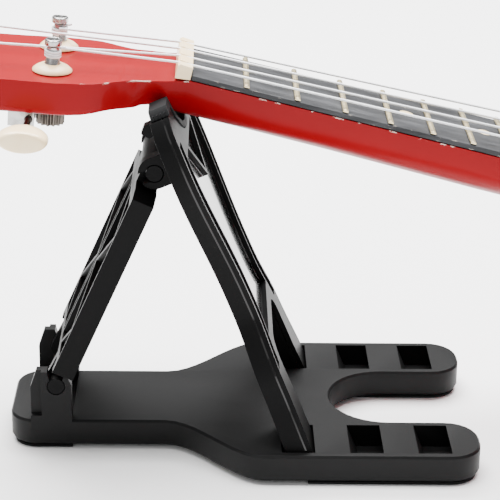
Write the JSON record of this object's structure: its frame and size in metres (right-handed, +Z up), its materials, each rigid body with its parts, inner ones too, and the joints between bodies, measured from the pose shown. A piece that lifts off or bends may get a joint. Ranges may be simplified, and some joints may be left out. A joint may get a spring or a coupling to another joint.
{
  "type": "small four-string guitar on a folding neck stand",
  "caption": "Small red lacquered guitar with open-geared tuners, its neck lying in the rubber cradle of a folding black plastic stand with a socketed base.",
  "frame": {"origin": "centre of the whole object's box, on the surface that the stand and the instrument's tail rest on", "axes": "+X from the headstock towards the instrument's tail, +Y across the stand to the far side, +Z up"},
  "size_m": [0.4988, 0.1706, 0.1581],
  "materials": {
    "black_plastic": "fine-textured black moulded plastic",
    "black_rubber": "matt black rubber",
    "red_lacquer": "wood under glossy red lacquer",
    "bare_wood": "unfinished wood",
    "dark_board": "dark stained wood with a dull sheen",
    "cream_plastic": "cream plastic, slightly yellowed",
    "brass": "worn brass wire",
    "nickel": "bright nickel plating",
    "nylon": "clear white nylon"
  },
  "bodies": {
    "stand": {"stand_base": "black_plastic", "base_pad_rear": "black_rubber", "base_pad_near_arm": "black_rubber", "base_pad_far_arm": "black_rubber"},
    "strut": {"strut_frame": "black_plastic"},
    "panel": {"panel_frame": "black_plastic", "neck_cradle_pad": "black_rubber"},
    "instrument": {"neck": "red_lacquer", "fretboard": "dark_board", "fret_01": "brass", "fret_02": "brass", "fret_03": "brass", "fret_04": "brass", "fret_05": "brass", "fret_06": "brass", "fret_07": "brass", "fret_08": "brass", "fret_09": "brass", "fret_10": "brass", "fret_11": "brass", "fret_12": "brass", "nut": "cream_plastic", "saddle": "cream_plastic", "bridge": "dark_board", "string_1": "nylon", "string_2": "nylon", "string_3": "nylon", "string_4": "nylon", "soundboard": "red_lacquer", "body_sides": "red_lacquer", "body_back": "red_lacquer", "neck_block": "bare_wood", "tail_block": "bare_wood", "bushing_near_1": "cream_plastic", "bushing_far_1": "cream_plastic", "bushing_near_2": "cream_plastic", "bushing_far_2": "cream_plastic", "frame_plate_near_1": "nickel", "frame_plate_far_1": "nickel", "frame_plate_near_2": "nickel", "frame_plate_far_2": "nickel"},
    "tuner_knob_near_1": {"worm_shaft_near_1": "nickel", "button_near_1": "cream_plastic"},
    "tuner_knob_far_1": {"worm_shaft_far_1": "nickel", "button_far_1": "cream_plastic"},
    "tuner_knob_near_2": {"worm_shaft_near_2": "nickel", "button_near_2": "cream_plastic"},
    "tuner_knob_far_2": {"worm_shaft_far_2": "nickel", "button_far_2": "cream_plastic"},
    "tuner_post_near_1": {"post_near_1": "nickel", "gear_near_1": "nickel"},
    "tuner_post_far_1": {"post_far_1": "nickel", "gear_far_1": "nickel"},
    "tuner_post_near_2": {"post_near_2": "nickel", "gear_near_2": "nickel"},
    "tuner_post_far_2": {"post_far_2": "nickel", "gear_far_2": "nickel"}
  },
  "joints": [
    {"name": "instrument_lift", "type": "slide", "parent": "stand", "child": "instrument", "axis": [0, 0, 1], "range_m": [0, 0.16]},
    {"name": "strut_fold", "type": "hinge", "parent": "stand", "child": "strut", "pos_m": [-0.19321, 0, 0.0255], "axis": [0, -1, 0], "range_deg": [0, 100]},
    {"name": "panel_fold", "type": "hinge", "parent": "strut", "child": "panel", "pos_m": [-0.15648, 0, 0.10799], "axis": [0, 1, 0], "range_deg": [0, 46.5]},
    {"name": "knob_turn_near_1", "type": "hinge", "parent": "instrument", "child": "tuner_knob_near_1", "pos_m": [-0.20011, -0.015, 0.12818], "axis": [0, -1, 0], "continuous": true},
    {"name": "knob_turn_far_1", "type": "hinge", "parent": "instrument", "child": "tuner_knob_far_1", "pos_m": [-0.20011, 0.015, 0.12818], "axis": [0, 1, 0], "continuous": true},
    {"name": "knob_turn_near_2", "type": "hinge", "parent": "instrument", "child": "tuner_knob_near_2", "pos_m": [-0.23303, -0.015, 0.13043], "axis": [0, -1, 0], "continuous": true},
    {"name": "knob_turn_far_2", "type": "hinge", "parent": "instrument", "child": "tuner_knob_far_2", "pos_m": [-0.23303, 0.015, 0.13043], "axis": [0, 1, 0], "continuous": true},
    {"name": "post_turn_near_1", "type": "hinge", "parent": "instrument", "child": "tuner_post_near_1", "pos_m": [-0.19181, -0.015, 0.14406], "axis": [0.068, 0, 0.9977], "continuous": true},
    {"name": "post_turn_far_1", "type": "hinge", "parent": "instrument", "child": "tuner_post_far_1", "pos_m": [-0.19181, 0.015, 0.14406], "axis": [0.068, 0, 0.9977], "continuous": true},
    {"name": "post_turn_near_2", "type": "hinge", "parent": "instrument", "child": "tuner_post_near_2", "pos_m": [-0.22473, -0.015, 0.1463], "axis": [0.068, 0, 0.9977], "continuous": true},
    {"name": "post_turn_far_2", "type": "hinge", "parent": "instrument", "child": "tuner_post_far_2", "pos_m": [-0.22473, 0.015, 0.1463], "axis": [0.068, 0, 0.9977], "continuous": true}
  ],
  "couplings": [
    {"joint": "strut_fold", "follows": "instrument_lift", "rad_per_m": 10.9},
    {"joint": "panel_fold", "follows": "instrument_lift", "rad_per_m": 5.06},
    {"joint": "post_turn_near_1", "follows": "knob_turn_near_1", "ratio": 0.071429},
    {"joint": "post_turn_far_1", "follows": "knob_turn_far_1", "ratio": -0.071429},
    {"joint": "post_turn_near_2", "follows": "knob_turn_near_2", "ratio": 0.071429},
    {"joint": "post_turn_far_2", "follows": "knob_turn_far_2", "ratio": -0.071429}
  ]
}
